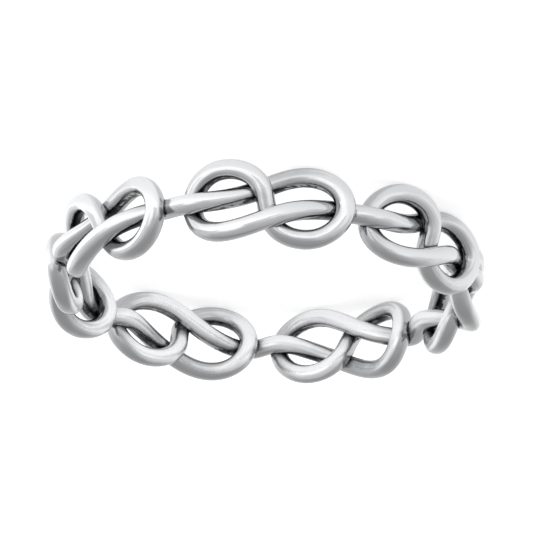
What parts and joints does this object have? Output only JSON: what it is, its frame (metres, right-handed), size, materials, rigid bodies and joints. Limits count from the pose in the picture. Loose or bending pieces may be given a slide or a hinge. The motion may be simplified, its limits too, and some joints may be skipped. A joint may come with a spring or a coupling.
{
  "type": "infinity knot ring",
  "caption": "Openwork silver finger ring of one endless wire tied in figure-eight knots, lying on its side.",
  "frame": {"origin": "on the ring's axis, level with the surface that the ring lies on", "axes": "+Z is the ring's axis and points up as it lies on its side; -Y points at the middle of the front knot"},
  "size_m": [0.0206, 0.0208, 0.0039],
  "materials": {
    "silver": "polished sterling silver, darkened in its recesses and along the seams between strands"
  },
  "bodies": {
    "root": {"knotted_wire": "silver"}
  },
  "joints": []
}
